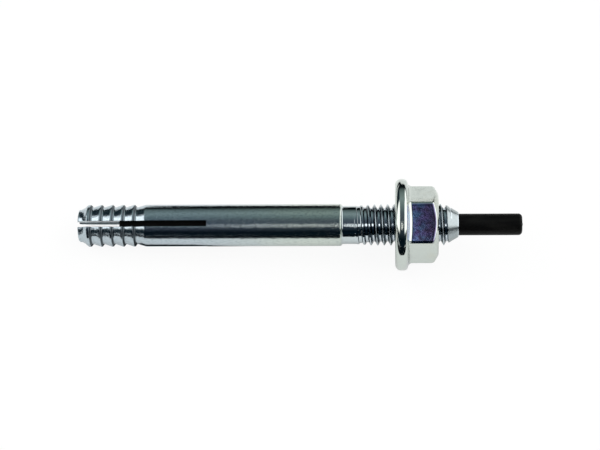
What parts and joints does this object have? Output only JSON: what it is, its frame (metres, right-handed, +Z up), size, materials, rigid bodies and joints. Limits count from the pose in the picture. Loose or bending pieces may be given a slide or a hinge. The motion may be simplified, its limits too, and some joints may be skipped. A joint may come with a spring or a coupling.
{
  "type": "expansion anchor",
  "caption": "Hammer-set expansion anchor: a bored stud with a barbed, cross-slotted nose, a hex flange nut on its threaded end, and a pin that is driven in to spread the nose.",
  "frame": {"origin": "centre of the lying anchor's box, on the surface that it rests on", "axes": "+X towards the driven end of the pin, with the nose at -X, +Z up; the anchor lies on its flange and its first barb, so its axis rises 4.57 degrees from the nose to the pin, in the XZ plane"},
  "size_m": [0.0844, 0.0174, 0.0174],
  "materials": {
    "stud_zinc": "bright zinc plate, clear blue passivated, fine turned grain",
    "nut_zinc": "bright zinc plate, clear blue passivated, cold formed",
    "pin_black": "black oxide, oiled, satin"
  },
  "bodies": {
    "anchor_body": {"anchor_body": "stud_zinc"},
    "flange_nut": {"flange_nut": "nut_zinc"},
    "drive_pin": {"drive_pin": "pin_black"}
  },
  "joints": [
    {"name": "nut_spin", "type": "hinge", "parent": "anchor_body", "child": "flange_nut", "pos_m": [0.0182, 0, 0.00861], "axis": [0.9968, 0, 0.0797], "continuous": true},
    {"name": "pin_drive", "type": "slide", "parent": "anchor_body", "child": "drive_pin", "axis": [-0.9968, 0, -0.0797], "range_m": [0, 0.012], "deforming": ["anchor_body"]}
  ]
}
